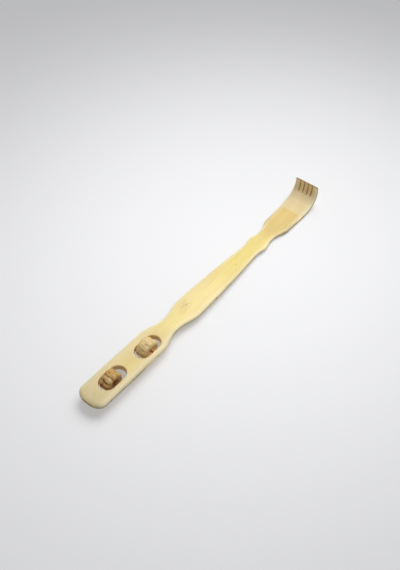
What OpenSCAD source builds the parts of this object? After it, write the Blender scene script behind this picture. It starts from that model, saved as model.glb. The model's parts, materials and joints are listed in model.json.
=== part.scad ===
// Bamboo back scratcher with two massage rollers in its handle.
// One strip of bamboo is handle, waist, blade, collar, neck and rake. It is drawn flat first, with its
// middle plane at z = 0 and its butt end at x = 0, and is then set down on a table at z = 0, where it lies
// on the far roller and on the heel of the rake, with the rake pointing up along +X.

/* [Handle] */
// Width of the handle
handle_w = 42.2; // [34:0.1:50]
// Thickness of the handle
handle_t = 9.6; // [8:0.1:12]
// Radius of the handle's long edges and of the rim of its butt end
handle_edge_r = 3.8; // [1:0.1:3.9]
// Length of the butt end's rounding, seen from above
butt_round_len = 13.2; // [8:0.1:18]
// Width of the short straight end between the butt end's rounded corners
butt_end_w = 8; // [4:0.5:24]
// Solid bamboo between the butt end and the near slot
butt_wall = 24.5; // [18:0.1:32]
// Solid bamboo between the two slots
bridge_len = 21.9; // [12:0.1:30]
// How far the shoulder's curve starts before the end of the far slot
shoulder_lap = 9.6; // [4:0.1:16]

/* [Slots and rollers] */
// Length of each slot beyond the diameter of its roller
slot_spare = 12.6; // [11:0.1:20]
// How far the near slot lies off the handle's middle, towards -Y
near_slot_shift = 1.1; // [0:0.1:3]
// How far the far slot lies off the handle's middle, towards -Y
far_slot_shift = 2.8; // [0:0.1:3]
// Diameter of each roller over its knobs
roller_d = 28.6; // [24:0.2:32]
// Width of each roller
roller_w = 16; // [12:0.2:18]
// Gap between a roller and the +Y wall of its slot
roller_gap = 2.2; // [1.5:0.1:4]
// Gap between a roller and the -Y wall of its slot
roller_play = 4.8; // [2:0.1:6]
// Number of ridges around a roller
ridge_count = 10; // [6:1:12]
// Radius of the round grooves between the ridges
groove_r = 1.9; // [0.8:0.1:2.2]
// Depth of those grooves
groove_depth = 1.4; // [0.6:0.1:1.8]
// Radius of the round hollow that runs around a roller and parts each ridge into two knobs
hollow_r = 3.4; // [2:0.1:5]
// Depth of that hollow
hollow_depth = 0.9; // [0.4:0.1:1.5]
// Bevel at the rims of a roller
rim_bevel = 2; // [1:0.1:2.6]
// Turn of both rollers on their axles, measured to the groove left of the top
roller_turn = 17; // [0:1:45]

/* [Axles] */
// How far the near axle lies from the middle of its slot, towards the butt end
near_axle_back = 2.4; // [0:0.1:3]
// Diameter of each axle
axle_d = 2.6; // [2:0.1:3.6]
// Depth of the blind socket that holds an axle's far end
axle_socket = 6; // [3:0.5:7]
// How far an axle's near end lies inside the handle's side
axle_inset = 0.5; // [0.2:0.1:1.5]
// Radial clearance between an axle and its roller
running_clearance = 0.08; // [0.02:0.01:0.1]

/* [Waist and blade] */
// Width of the waist
waist_w = 26.2; // [20:0.2:32]
// Length of the shoulder, from the straight handle to the waist
shoulder_len = 33; // [26:0.5:46]
// Straight length of the waist
waist_len = 5; // [2:0.5:12]
// Length of the flare, from the waist to the blade's corners
flare_len = 36; // [26:0.5:48]
// Width of the blade at its corners
blade_w = 39; // [30:0.2:46]
// Width of the blade at its narrow end
blade_end_w = 25.5; // [20:0.1:28]
// Length of the blade
blade_len = 131; // [100:1:160]
// How much the blade's sides bow out, from straight to full
blade_bow = 0.7; // [0:0.05:1]
// Thickness of the blade, the collar and the neck
blade_t = 6; // [5:0.1:8]
// Radius of the blade's long edges
blade_edge_r = 2.4; // [0.8:0.1:2.4]
// Straight length between the blade's narrow end and the collar
notch_len = 9; // [3:0.5:16]
// Width of the collar at its crest
collar_w = 30; // [26:0.2:36]
// Length of the collar's rise to its crest
collar_len = 16; // [10:0.5:24]
// Width of the neck
neck_w = 24.2; // [18:0.2:28]
// Length of the collar's fall from its crest to the neck
collar_fall_len = 16; // [10:0.5:24]
// Straight length of the neck
neck_len = 7; // [2:0.5:14]

/* [Rake] */
// Width of the rake at its flat start
rake_w = 38.8; // [32:0.2:46]
// Width of the rake at the end of its heel, where it is widest
heel_w = 41; // [32:0.2:46]
// Width of the rake at its tip
tip_w = 38.6; // [30:0.2:44]
// Length from the neck to the flat start of the rake
rake_shoulder_len = 27; // [20:0.5:40]
// Length of the flat, as far as the heel
rake_flat_len = 26; // [20:0.5:40]
// Thickness of the rake
rake_t = 5; // [4:0.1:7]
// Thickness of the fingers at their tips
tip_t = 3.2; // [2.4:0.1:4]
// Radius of the rake's edges
rake_edge_r = 1.2; // [0.4:0.1:1.2]
// Radius of the heel, the gentle first part of the bend, at the middle of the rake's thickness
heel_r = 97; // [70:1:130]
// Angle through which the heel is bent up
heel_angle = 18; // [10:1:24]
// Radius of the curl, the tight second part of the bend
curl_r = 24.1; // [18:0.1:30]
// Angle through which the curl is bent up
curl_angle = 82; // [60:1:90]
// Straight length from the curl to the tip
tip_len = 2; // [1:0.5:6]
// Number of fingers
finger_count = 5; // [3:1:7]
// Width of an outer finger, in widths of an inner one
outer_finger = 1.3; // [1:0.05:1.6]
// Width of the saw cuts between the fingers
slit_w = 1; // [0.6:0.1:2]
// Length of the saw cuts
slit_len = 20; // [10:0.5:26]

/* [Hidden] */
$fn = 96;

// Extra length of cutters past the solids that they cut
over = 1;
// Spacing of the body's cross-sections and steps in each of its rounded corners
section_step = 4;
corner_steps = 4;
end_steps = 6;
// Least flat left on each side of the middle plane between two rounded edges
least_flat = 0.1;

// Size of each slot around its roller
slot_len = roller_d + slot_spare;
slot_w = roller_gap + roller_w + roller_play;

// Places along the strip, from the butt end
near_slot_at = butt_wall + slot_len / 2;
far_slot_at = near_slot_at + slot_len + bridge_len;
near_at = near_slot_at - near_axle_back;
slots_end = far_slot_at + slot_len / 2;
shoulder_at = slots_end - shoulder_lap;
waist_at = shoulder_at + shoulder_len;
flare_at = waist_at + waist_len;
blade_at = flare_at + flare_len;
blade_end_at = blade_at + blade_len;
collar_start = blade_end_at + notch_len;
collar_at = collar_start + collar_len;
neck_at = collar_at + collar_fall_len;
neck_end = neck_at + neck_len;
rake_at = neck_end + rake_shoulder_len;
bend_at = rake_at + rake_flat_len;
curl_at = bend_at + heel_r * heel_angle * PI / 180;
curl_end = curl_at + curl_r * curl_angle * PI / 180;
tip_at = curl_end + tip_len;
slit_at = tip_at - slit_len;

butt_round_w = (handle_w - butt_end_w) / 2;
roller_r = roller_d / 2;
bore_r = axle_d / 2 + running_clearance;
// Places along Y of the slots' +Y walls
near_wall = slot_w / 2 - near_slot_shift;
far_wall = slot_w / 2 - far_slot_shift;
tip_edge_r = min(rake_edge_r, tip_t / 2 - 2 * least_flat);

// Half width and half thickness at the places where they are set: [place, value, slope before, slope after]
blade_slope = (blade_end_w - blade_w) / 2 / blade_len;
OUTLINE = [
    [0, handle_w / 2, 0, 0],
    [shoulder_at, handle_w / 2, 0, 0],
    [waist_at, waist_w / 2, 0, 0],
    [flare_at, waist_w / 2, 0, 0],
    [blade_at, blade_w / 2, 0, blade_slope * (1 - blade_bow)],
    [blade_end_at, blade_end_w / 2, blade_slope * (1 + blade_bow), 0],
    [collar_start, blade_end_w / 2, 0, 0],
    [collar_at, collar_w / 2, 0, 0],
    [neck_at, neck_w / 2, 0, 0],
    [neck_end, neck_w / 2, 0, 0],
    [rake_at, rake_w / 2, 0, 0],
    [curl_at, heel_w / 2, 0, 0],
    [tip_at, tip_w / 2, 0, 0],
];
THICKNESS = [
    [0, handle_t / 2, 0, 0],
    [slots_end, handle_t / 2, 0, 0],
    [blade_at, blade_t / 2, 0, 0],
    [rake_at, blade_t / 2, 0, 0],
    [bend_at, rake_t / 2, 0, 0],
    [slit_at, rake_t / 2, 0, 0],
    [tip_at, tip_t / 2, 0, 0],
];
EDGE = [
    [0, handle_edge_r, 0, 0],
    [slots_end, handle_edge_r, 0, 0],
    [blade_at, blade_edge_r, 0, 0],
    [rake_at, blade_edge_r, 0, 0],
    [bend_at, rake_edge_r, 0, 0],
    [slit_at, rake_edge_r, 0, 0],
    [tip_at, tip_edge_r, 0, 0],
];

// Smooth cubic between two rows of such a list
function cubic(a, b, t) = let (len = b[0] - a[0])
    a[1] * (1 - t) * (1 - t) * (1 + 2 * t) + b[1] * t * t * (3 - 2 * t)
    + len * t * (1 - t) * (a[3] * (1 - t) - b[2] * t);
function value_at(list, s, i = 0) = s <= list[i + 1][0] || i == len(list) - 2
    ? cubic(list[i], list[i + 1], (s - list[i][0]) / (list[i + 1][0] - list[i][0]))
    : value_at(list, s, i + 1);

// What a quarter round of radius r, or a quarter ellipse of width w, takes off at distance d from the end
function round_off(r, d) = d >= r ? 0 : r - sqrt(r * r - (r - d) * (r - d));
function ellipse_off(r, w, d) = w / r * round_off(r, d);

// Cross-section at place s: a rounded rectangle, drawn in at the butt end and at the tip
function half_w(s) = value_at(OUTLINE, s) - ellipse_off(butt_round_len, butt_round_w, s)
    - round_off(tip_edge_r, tip_at - s);
function half_t(s) = value_at(THICKNESS, s) - round_off(handle_edge_r, s) - round_off(tip_edge_r, tip_at - s);
function edge_r(s) = min(value_at(EDGE, s), half_t(s) - least_flat);
function corner(cy, cz, r, from) = [for (i = [0 : corner_steps]) let (a = from + 90 * i / corner_steps)
    [cy + r * cos(a), cz + r * sin(a)]];
function section(w, t, r) = concat(
    corner(w - r, t - r, r, 0), corner(r - w, t - r, r, 90),
    corner(r - w, r - t, r, 180), corner(w - r, r - t, r, 270));

// Middle plane of the strip: flat to the heel, then two arcs, heel and curl, then straight to the tip
function heel_turn(s) = min(max(s - bend_at, 0) / heel_r * 180 / PI, heel_angle);
function turn_at(s) = heel_turn(s) + min(max(s - curl_at, 0) / curl_r * 180 / PI, curl_angle);
function past_curl(s) = max(s - curl_end, 0);
function path_x(s) = min(s, bend_at) + heel_r * sin(heel_turn(s))
    + curl_r * (sin(turn_at(s)) - sin(heel_turn(s))) + past_curl(s) * cos(turn_at(s));
function path_z(s) = heel_r * (1 - cos(heel_turn(s)))
    + curl_r * (cos(heel_turn(s)) - cos(turn_at(s))) + past_curl(s) * sin(turn_at(s));

// Places of the cross-sections: close together round both ends, and each set place is one of them
function steps(from, to) = let (n = max(1, ceil((to - from) / section_step)))
    [for (i = [1 : n]) from + (to - from) * i / n];
butt_places = [for (i = [0 : end_steps]) butt_round_len * (1 - cos(90 * i / end_steps))];
tip_places = [for (i = [1 : end_steps]) tip_at - tip_edge_r * (1 - sin(90 * i / end_steps))];
set_places = [butt_round_len, shoulder_at, slots_end, waist_at, flare_at, blade_at, blade_end_at, collar_start,
    collar_at, neck_at, neck_end, rake_at, bend_at, curl_at, slit_at, tip_at - tip_edge_r];
PLACES = concat(butt_places, [for (i = [0 : len(set_places) - 2]) each steps(set_places[i], set_places[i + 1])],
    tip_places);
BODY_POINTS = [for (s = PLACES) each [for (p = section(half_w(s), half_t(s), edge_r(s)))
    [path_x(s) - p[1] * sin(turn_at(s)), p[0], path_z(s) + p[1] * cos(turn_at(s))]]];

// Height of an axle over the table: a roller stands on a ridge, or on the two ridges beside its lowest groove
ridge_pitch = 360 / ridge_count;
groove_centre = roller_r + groove_r - groove_depth;
groove_spread = acos((roller_r * roller_r + groove_centre * groove_centre - groove_r * groove_r)
    / (2 * roller_r * groove_centre));
off_groove = (180 + roller_turn) % ridge_pitch;
standing_r = roller_r * cos(max(0, groove_spread - min(off_groove, ridge_pitch - off_groove)));

// Tilt of the strip on the table: one line touches the far roller and the outside of the heel
lean = atan2(bend_at - far_slot_at, heel_r);
reach = norm([bend_at - far_slot_at, heel_r]);
tilt = acos((heel_r + rake_t / 2 - standing_r) / reach) - lean;
lift = standing_r + far_slot_at * sin(tilt);
leaned_x = [for (p = BODY_POINTS) p[0] * cos(tilt) + p[2] * sin(tilt)];
middle_x = (min(leaned_x) + max(leaned_x)) / 2;

module set_down() {
    translate([-middle_x, 0, lift]) rotate([0, tilt, 0]) children();
}

// Strip of bamboo before its slots are cut, as one skin over all cross-sections
module strip() {
    ring = 4 * (corner_steps + 1);
    last = len(PLACES) - 1;
    skin = [for (i = [0 : last - 1]) for (j = [0 : ring - 1]) let (k = (j + 1) % ring)
        [i * ring + j, i * ring + k, (i + 1) * ring + k, (i + 1) * ring + j]];
    butt = [for (j = [ring - 1 : -1 : 0]) j];
    tip = [for (j = [0 : ring - 1]) last * ring + j];
    polyhedron(BODY_POINTS, concat([butt], skin, [tip]), convexity = 6);
}

module slot(at, shift) {
    straight = slot_len - slot_w;
    translate([at, -shift, 0]) {
        for (side = [-1, 1]) {
            translate([side * straight / 2, 0, 0]) cylinder(d = slot_w, h = handle_t + 2 * over, center = true);
        }
        cube([straight, slot_w, handle_t + 2 * over], center = true);
    }
}

// A round bar across the handle, from one place along Y to another
module cross_bar(at, from, to, d) {
    translate([at, to, 0]) rotate([90, 0, 0]) cylinder(d = d, h = to - from);
}

// Saw cuts between the fingers, each in a plane of its own, as deep as the rake curves inside its length
module slits() {
    start = turn_at(slit_at);
    sag = curl_r * (1 - cos(turn_at(tip_at) - start)) + tip_len + rake_t;
    finger_w = tip_w / (finger_count - 2 + 2 * outer_finger);
    for (i = [1 : finger_count - 1]) {
        translate([path_x(slit_at), finger_w * (i - finger_count / 2) - slit_w / 2, path_z(slit_at)])
            rotate([0, -start, 0])
            translate([0, 0, -rake_t]) cube([slit_len + sag, slit_w, rake_t + sag]);
    }
}

module body() {
    color("#ecd99b") set_down() difference() {
        strip();
        slot(near_slot_at, near_slot_shift);
        slot(far_slot_at, far_slot_shift);
        cross_bar(near_at, -handle_w / 2 - over, near_wall + axle_socket, axle_d);
        cross_bar(far_slot_at, -handle_w / 2 - over, far_wall + axle_socket, axle_d);
        slits();
    }
}

// Half profile of a roller, with a shallow hollow around its middle
module roller_profile() {
    difference() {
        polygon([
            [bore_r, -roller_w / 2],
            [roller_r - rim_bevel, -roller_w / 2],
            [roller_r, -roller_w / 2 + rim_bevel],
            [roller_r, roller_w / 2 - rim_bevel],
            [roller_r - rim_bevel, roller_w / 2],
            [bore_r, roller_w / 2],
        ]);
        translate([roller_r + hollow_r - hollow_depth, 0]) circle(r = hollow_r);
    }
}

module roller(at, wall) {
    set_down() translate([at, wall - roller_gap - roller_w / 2, 0]) rotate([90, 0, 0]) difference() {
        rotate_extrude() roller_profile();
        for (i = [0 : ridge_count - 1]) {
            rotate([0, 0, 90 + roller_turn + ridge_pitch * i])
                translate([roller_r + groove_r - groove_depth, 0, 0])
                cylinder(r = groove_r, h = roller_w + 2 * over, center = true);
        }
    }
}

module near_roller() {
    color("#cfa765") roller(near_at, near_wall);
}

module far_roller() {
    color("#cfa765") roller(far_slot_at, far_wall);
}

module axle(at, wall) {
    set_down() cross_bar(at, -handle_w / 2 + axle_inset, wall + axle_socket, axle_d);
}

module near_axle() {
    color("#8a5a2b") axle(near_at, near_wall);
}

module far_axle() {
    color("#8a5a2b") axle(far_slot_at, far_wall);
}

body();
near_roller();
far_roller();
near_axle();
far_axle();
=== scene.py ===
"""Bamboo back scratcher with two knobbed massage rollers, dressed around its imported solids."""

import json
import math

import bmesh
import bpy
import numpy as np
from mathutils import Matrix, Vector


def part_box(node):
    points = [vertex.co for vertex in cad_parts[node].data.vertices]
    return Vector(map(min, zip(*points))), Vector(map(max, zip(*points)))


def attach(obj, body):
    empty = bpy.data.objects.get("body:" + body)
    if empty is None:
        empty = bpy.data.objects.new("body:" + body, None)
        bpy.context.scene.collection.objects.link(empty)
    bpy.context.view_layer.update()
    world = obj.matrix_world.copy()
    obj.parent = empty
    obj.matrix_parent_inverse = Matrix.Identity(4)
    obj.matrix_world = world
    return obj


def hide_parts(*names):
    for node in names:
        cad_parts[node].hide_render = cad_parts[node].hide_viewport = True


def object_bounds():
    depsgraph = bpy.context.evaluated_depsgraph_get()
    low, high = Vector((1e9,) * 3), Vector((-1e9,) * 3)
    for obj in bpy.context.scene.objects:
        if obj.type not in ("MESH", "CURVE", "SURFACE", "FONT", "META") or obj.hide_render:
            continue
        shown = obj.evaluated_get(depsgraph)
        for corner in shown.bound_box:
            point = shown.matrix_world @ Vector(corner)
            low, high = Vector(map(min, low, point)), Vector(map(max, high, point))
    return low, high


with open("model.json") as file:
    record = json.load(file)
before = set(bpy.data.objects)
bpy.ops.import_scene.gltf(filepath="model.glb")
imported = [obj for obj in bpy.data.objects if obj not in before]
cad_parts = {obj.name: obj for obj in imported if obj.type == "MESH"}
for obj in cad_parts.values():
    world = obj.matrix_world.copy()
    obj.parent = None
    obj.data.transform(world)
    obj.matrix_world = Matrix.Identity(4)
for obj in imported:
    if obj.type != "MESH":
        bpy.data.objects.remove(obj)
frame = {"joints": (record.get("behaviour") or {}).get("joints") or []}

bl_info = {
    "name": "Bamboo back scratcher",
    "version": (1, 0, 0),
    "blender": (4, 5, 0),
    "location": "View3D > Sidebar > Scratcher",
    "description": "Builds a bamboo back scratcher with two massage rollers around its packed solids",
    "category": "Add Mesh",
}

MM = 0.001
QUARTER_TURN = np.pi / 2
FULL_TURN = 2 * np.pi
CAD_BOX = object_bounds()

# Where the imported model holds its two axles
AXLES = {joint["name"]: np.array(joint["pos_m"]) for joint in frame["joints"]}
NEAR_AXLE = AXLES["near_roller_spin"]
FAR_AXLE = AXLES["far_roller_spin"]
AXLE_GAP = float(np.linalg.norm(FAR_AXLE - NEAR_AXLE))

# The strip's own directions: along it, across it, and up from its middle plane
ALONG = (FAR_AXLE - NEAR_AXLE) / AXLE_GAP
ACROSS = np.array([0.0, 1.0, 0.0])
UP = np.cross(ALONG, ACROSS)
STRIP_AXES = np.array([ALONG, ACROSS, UP])


def box_size(node):
    """Length, width and height of a CAD node."""
    low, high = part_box(node)
    return high - low


def middle_across(node):
    """Place of a CAD node's middle along Y."""
    low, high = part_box(node)
    return (low.y + high.y) / 2


ROLLER_BOX = box_size("near_roller")


# Properties

def number(name, description, value, **limits):
    """A number property."""
    return bpy.props.FloatProperty(name=name, description=description, default=value, **limits)


def count(name, description, value, least):
    """A property for a whole number of things."""
    return bpy.props.IntProperty(name=name, description=description, default=value, min=least)


def size(name, description, value):
    """A length property, in metres."""
    return number(name, description, value, min=0.0, precision=5, unit="LENGTH")


def share(name, description, value):
    """A number property between 0 and 1."""
    return number(name, description, value, min=0.0, max=1.0, subtype="FACTOR")


def angle(name, description, degrees):
    """An angle property, given here in degrees."""
    return number(name, description, math.radians(degrees), subtype="ANGLE")


def point(name, description, place):
    """A property for a place in the scene, in metres."""
    return bpy.props.FloatVectorProperty(
        name=name, description=description, default=place, size=3, unit="LENGTH")


def tint(name, description, code):
    """A colour property, given here as a colour code and kept as linear values.

    A level of up to 0.04045 is divided by 12.92. To a higher one 0.055 is added, the sum is divided by 1.055,
    and the result is raised to the power 2.4.
    """
    parts = [int(code[i:i + 2], 16) / 255 for i in (1, 3, 5)]
    linear = [p / 12.92 if p <= 0.04045 else ((p + 0.055) / 1.055) ** 2.4 for p in parts]
    return bpy.props.FloatVectorProperty(
        name=name, description=description, default=linear, size=3, min=0.0, max=1.0, subtype="COLOR")


class StripSizes(bpy.types.PropertyGroup):
    """Sizes of the bamboo strip. Every place is measured along the strip from its butt end."""

    handle_width: size("Handle width", "Width of the handle", box_size("body").y)
    handle_thickness: size("Handle thickness", "Thickness of the handle", 9.6 * MM)
    handle_edge: size("Handle edge", "Radius of the handle's long edges", 3.8 * MM)
    handle_crown: size("Handle crown", "How far the handle's top falls towards its sides", 0.25 * MM)
    butt_round: size("Butt rounding", "Length of the butt end's rounding from above", 13.2 * MM)
    butt_end: size("Butt end", "Width of the short straight end of the butt", 8 * MM)
    butt_fall: size("Butt fall", "Length over which the faces round down to the butt end", 9 * MM)
    butt_soft: share("Butt softness", "How much wider than high the edges are rounded by the butt end", 0.6)
    butt_soft_end: size("Butt softness end", "Where the long edges are round again", 50 * MM)
    near_slot_at: size("Near slot", "Middle of the slot next to the butt end", 45.1 * MM)
    far_slot_at: size("Far slot", "Middle of the other slot", 108.2 * MM)
    near_axle_at: size("Near axle", "Axle of the near roller", 42.7 * MM)
    slot_length: size("Slot length", "Length of each slot", 41.2 * MM)
    slot_width: size("Slot width", "Width of each slot", 23 * MM)
    near_slot_shift: size("Near slot shift", "How far the near slot lies off the middle to -Y", 1.1 * MM)
    far_slot_shift: size("Far slot shift", "How far the far slot lies off the middle to -Y", 2.8 * MM)
    slot_rim: size("Slot rim", "Radius of the rounded rim of each slot", 1.2 * MM)
    shoulder_at: size("Shoulder", "Where the handle starts to narrow", 119.2 * MM)
    waist_at: size("Waist start", "Start of the waist", 152.2 * MM)
    waist_end: size("Waist end", "End of the waist", 157.2 * MM)
    waist_width: size("Waist width", "Width of the waist", 26.2 * MM)
    blade_at: size("Blade start", "The blade's corners", 193.2 * MM)
    blade_width: size("Blade width", "Width of the blade at its corners", 39 * MM)
    blade_end: size("Blade end", "Narrow end of the blade", 324.2 * MM)
    blade_end_width: size("Blade end width", "Width of the blade's narrow end", 25.5 * MM)
    blade_bow: share("Blade bow", "How much the blade's sides bow out", 0.7)
    blade_thickness: size("Blade thickness", "Thickness of blade, collar and neck", 6 * MM)
    blade_edge: size("Blade edge", "Radius of the blade's long edges", 2.4 * MM)
    blade_crown: size("Blade crown", "How far the blade's top falls towards its sides", 0.8 * MM)
    collar_start: size("Collar start", "Where the collar starts to rise", 333.2 * MM)
    collar_at: size("Collar crest", "Crest of the collar", 349.2 * MM)
    collar_width: size("Collar width", "Width of the collar at its crest", 30 * MM)
    neck_at: size("Neck start", "Start of the neck", 365.2 * MM)
    neck_end: size("Neck end", "End of the neck", 372.2 * MM)
    neck_width: size("Neck width", "Width of the neck", 24.2 * MM)
    rake_at: size("Rake start", "Where the rake has its full width", 399.2 * MM)
    rake_width: size("Rake width", "Width of the rake at its flat start", 38.8 * MM)
    heel_width: size("Heel width", "Width of the rake at the end of its heel", 41 * MM)
    rake_thickness: size("Rake thickness", "Thickness of the bent rake", 5 * MM)
    rake_edge: size("Rake edge", "Radius of the rake's edges", 1.2 * MM)
    crease_at: size("Crease", "Line where the sanded flat stops and the bend begins", 434.7 * MM)
    crease_drop: size("Crease drop", "Depth of the small step at the crease", 0.35 * MM)
    bend_at: size("Bend start", "Start of the bend", 425.2 * MM)
    heel_radius: size("Heel radius", "Radius of the gentle first part of the bend", 97 * MM)
    heel_angle: angle("Heel angle", "How far the first part of the bend turns up", 18)
    curl_radius: size("Curl radius", "Radius of the tight second part of the bend", 24.1 * MM)
    curl_angle: angle("Curl angle", "How far the second part of the bend turns up", 82)
    tip_length: size("Tip length", "Straight length past the bend", 2 * MM)
    tip_width: size("Tip width", "Width of the rake at its tip", 38.6 * MM)
    tip_thickness: size("Tip thickness", "Thickness of the fingers at their tips", 3.2 * MM)
    fingers: count("Fingers", "Number of fingers", 5, 2)
    outer_finger: number("Outer finger", "Width of an outer finger, in widths of an inner one", 1.3, min=0.5)
    slit_width: size("Slit width", "Width of the saw cuts between fingers", 0.9 * MM)
    slit_length: size("Slit length", "Length of the saw cuts", 20 * MM)
    slit_rim: size("Slit rim", "How far the edges of a saw cut are eased", 0.15 * MM)
    dowel_fit: size("Dowel fit", "Clearance of the dowel holes in the strip", 0.04 * MM)


class RollerSizes(bpy.types.PropertyGroup):
    """Sizes of the knobbed rollers and of the dowels that they turn on."""

    diameter: size("Diameter", "Diameter over the knobs", max(ROLLER_BOX.x, ROLLER_BOX.z))
    width: size("Width", "Width of a roller", ROLLER_BOX.y)
    rim: size("Rim", "Radius of the rounded rims", 3.2 * MM)
    ridges: count("Ridges", "Ridges around a roller", 10, 3)
    groove_depth: size("Groove depth", "Depth of the grooves between ridges", 1.4 * MM)
    groove_half: size("Groove half width", "Half width of the grooves between ridges", 1.9 * MM)
    hollow_depth: size("Hollow depth", "Depth of the hollow around the middle of a roller", 0.55 * MM)
    hollow_half: size("Hollow half width", "Half width of that hollow", 2.2 * MM)
    wander: size("Wander", "How far the hand-cut grooves stray", 0.6 * MM)
    waves: size("Waves", "Height of the small waves that the knife left", 0.3 * MM)
    ridge_spread: size("Ridge spread", "How much the ridges differ in height", 0.15 * MM)
    dish: size("Dish", "Depth of the hollow in a roller's sides round the dowel", 1.5 * MM)
    turn: angle("Turn", "Angle from the top to the first groove behind it", 17)
    running_clearance: size("Running clearance", "Radial clearance on the dowel", 0.08 * MM)
    dowel_diameter: size("Dowel diameter", "Diameter of the dowels", box_size("near_axle").z)
    dowel_chamfer: size("Dowel chamfer", "Chamfer at the ends of the dowels", 0.3 * MM)


class WoodColours(bpy.types.PropertyGroup):
    """Colours of the bamboo, the rollers and the dowels."""

    # Darker colour by the butt end: painted shade for the light falling off towards that end
    butt: tint("Butt end", "Duller bamboo of the butt end", "#d8c797")
    handle: tint("Handle", "Bamboo of the handle", "#e7d39b")
    patch: tint("Patches", "Yellow patches on the handle", "#e7cf85")
    waist: tint("Waist", "Yellower bamboo of the waist", "#eeda93")
    blade: tint("Blade", "Pale bamboo of the blade", "#efda97")
    blade_end: tint("Blade end", "Yellow bamboo of the blade's narrow end", "#e8d380")
    flat: tint("Rake flat", "Warm yellow bamboo in front of the crease", "#dcc078")
    # Paler wood along the edges, partly a painted sheen on the rounded edges
    margin: tint("Margins", "Paler bamboo along the edges", "#f0e3bb")
    rake: tint("Rake", "Duller bamboo of the bend", "#e6cf99")
    # Paler colour of the tight bend: painted light, lightened where the bend faces away from the lamp
    curl: tint("Curl", "Paler bamboo of the tight part of the bend", "#fbe2b2")
    finger: tint("Fingers", "Browner bamboo of the fingers", "#e2c58a")
    cut: tint("Cut walls", "Brown cut walls of the slots", "#fbdba4")
    pore: tint("Pores", "Dark pores in cut bamboo", "#7d6234")
    slit: tint("Slits", "Dark walls of the saw cuts", "#a5772f")
    end_grain: tint("End grain", "Grey-brown end grain of the butt end and the finger tips", "#9a8658")
    mark: tint("Node mark", "Tan mark where a node was sanded flat", "#d3b57a")
    speck: tint("Specks", "Small dark specks", "#8d6a3c")
    near_roller: tint("Near roller", "Tan wood of the near roller", "#cba566")
    far_roller: tint("Far roller", "Paler tan wood of the far roller", "#e7cb8f")
    orange: tint("Orange knob", "Orange tint of the near roller's top knob", "#cf9c4c")
    worn: tint("Worn knobs", "Pale wood of worn knobs", "#e6cb9c")
    # Dark colour of the shade painted into grooves, hollow and dents, and of the pores in the rollers' end
    # grain
    groove: tint("Grooves", "Dark wood in the grooves", "#7d5429")
    near_roller_side: tint("Near roller sides", "Brown end grain of the near roller", "#84582b")
    # End grain of the far roller, partly painted light: lightened to offset the shade on that side
    far_roller_side: tint("Far roller sides", "Lighter brown end grain of the far roller", "#ffcf88")
    dowel: tint("Dowel", "Reddish-brown dowels", "#a06c38")
    dowel_streak: tint("Dowel streaks", "Dark streaks in the dowels", "#6e4320")
    dowel_end: tint("Dowel ends", "Sanded ends of the dowels in the handle's side", "#b79a66")


class StageSettings(bpy.types.PropertyGroup):
    """Floor, light and camera."""

    floor: tint("Floor", "Colour of the floor", "#f2f2f3")
    floor_reach: size("Floor reach", "Distance from the middle of the floor to its sides", 6.0)
    floor_gap: size("Floor gap", "Gap between floor and object, so that they don't share a plane", 0.05 * MM)
    floor_glow: share("Floor glow", "Share of the floor's brightness that shadows don't take away", 0.31)
    lamp_power: number("Lamp power", "Power of the large soft lamp", 1.87, min=0.0, unit="POWER")
    lamp_size: size("Lamp size", "Diameter of that lamp", 0.9)
    lamp_spread: angle("Lamp spread", "Angle over which the lamp's light spreads", 75)
    lamp_at: point("Lamp place", "Middle of the lamp", (0.35, 0.01, 0.77))
    lamp_aim: point("Lamp aim", "Point that the lamp faces", (0.03, 0.02, 0.0))
    fill: share("Fill", "Strength of the light from all around", 0.34)
    aim: point("Aim", "Point on the floor that the camera looks at", (0.00408, 0.01943, 0.0))
    distance: size("Distance", "Distance of the camera from that point", 1.07601)
    azimuth: angle("Azimuth", "Camera's turn round the object", -49.158)
    elevation: angle("Elevation", "Camera's height above the horizon", 50.071)
    roll: angle("Roll", "Camera's roll about its own axis", -2.192)
    lens: number("Lens", "Focal length", 48.778, unit="CAMERA")
    clip: size("Clip", "Nearest distance that the camera sees", 0.01)


# Numpy shapes

def eased(rows, s):
    """Cubic curve through rows of (place, value, slope before, slope after), read at the places s.

    Between two rows each value is weighted by (1 - t)^2 (1 + 2t) and its mirror, and each slope by
    t (1 - t)^2 and its mirror, so values and slopes are met exactly.
    """
    rows = np.asarray(rows, float)
    i = np.clip(np.searchsorted(rows[:, 0], s) - 1, 0, len(rows) - 2)
    start, value, slope = rows[i, 0], rows[i, 1], rows[i, 3]
    span = rows[i + 1, 0] - start
    t = (s - start) / span
    return (value * (1 - t) ** 2 * (1 + 2 * t) + rows[i + 1, 1] * t ** 2 * (3 - 2 * t)
            + span * t * (1 - t) * (slope * (1 - t) - rows[i + 1, 2] * t))


def levels(*pairs):
    """Rows for eased() that are level at each (place, value)."""
    return [(place, value, 0.0, 0.0) for place, value in pairs]


def round_off(radius, distance):
    """What a quarter round of that radius takes off at a distance from the end.

    It is the radius less the root of the radius squared less the square of the rest of the way to the radius.
    """
    inside = np.clip(radius - distance, 0.0, radius)
    return radius - np.sqrt(radius ** 2 - inside ** 2)


def smooth_step(low, high, value):
    """0 below low, 1 above high and 3t^2 - 2t^3 between them."""
    t = np.clip((value - low) / (high - low), 0.0, 1.0)
    return t * t * (3 - 2 * t)


def wrapped(turn):
    """An angle brought between minus half a turn and half a turn."""
    return (turn + np.pi) % FULL_TURN - np.pi


def closed_grid(points):
    """Points and quads of a grid (rows, columns, 3) whose columns close on themselves."""
    rows, columns = points.shape[:2]
    index = np.arange(rows * columns).reshape(rows, columns)
    ahead = np.roll(index, -1, axis=1)
    quads = np.stack([index[:-1], ahead[:-1], ahead[1:], index[1:]], axis=-1).reshape(-1, 4)
    return points.reshape(-1, 3), quads


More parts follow.
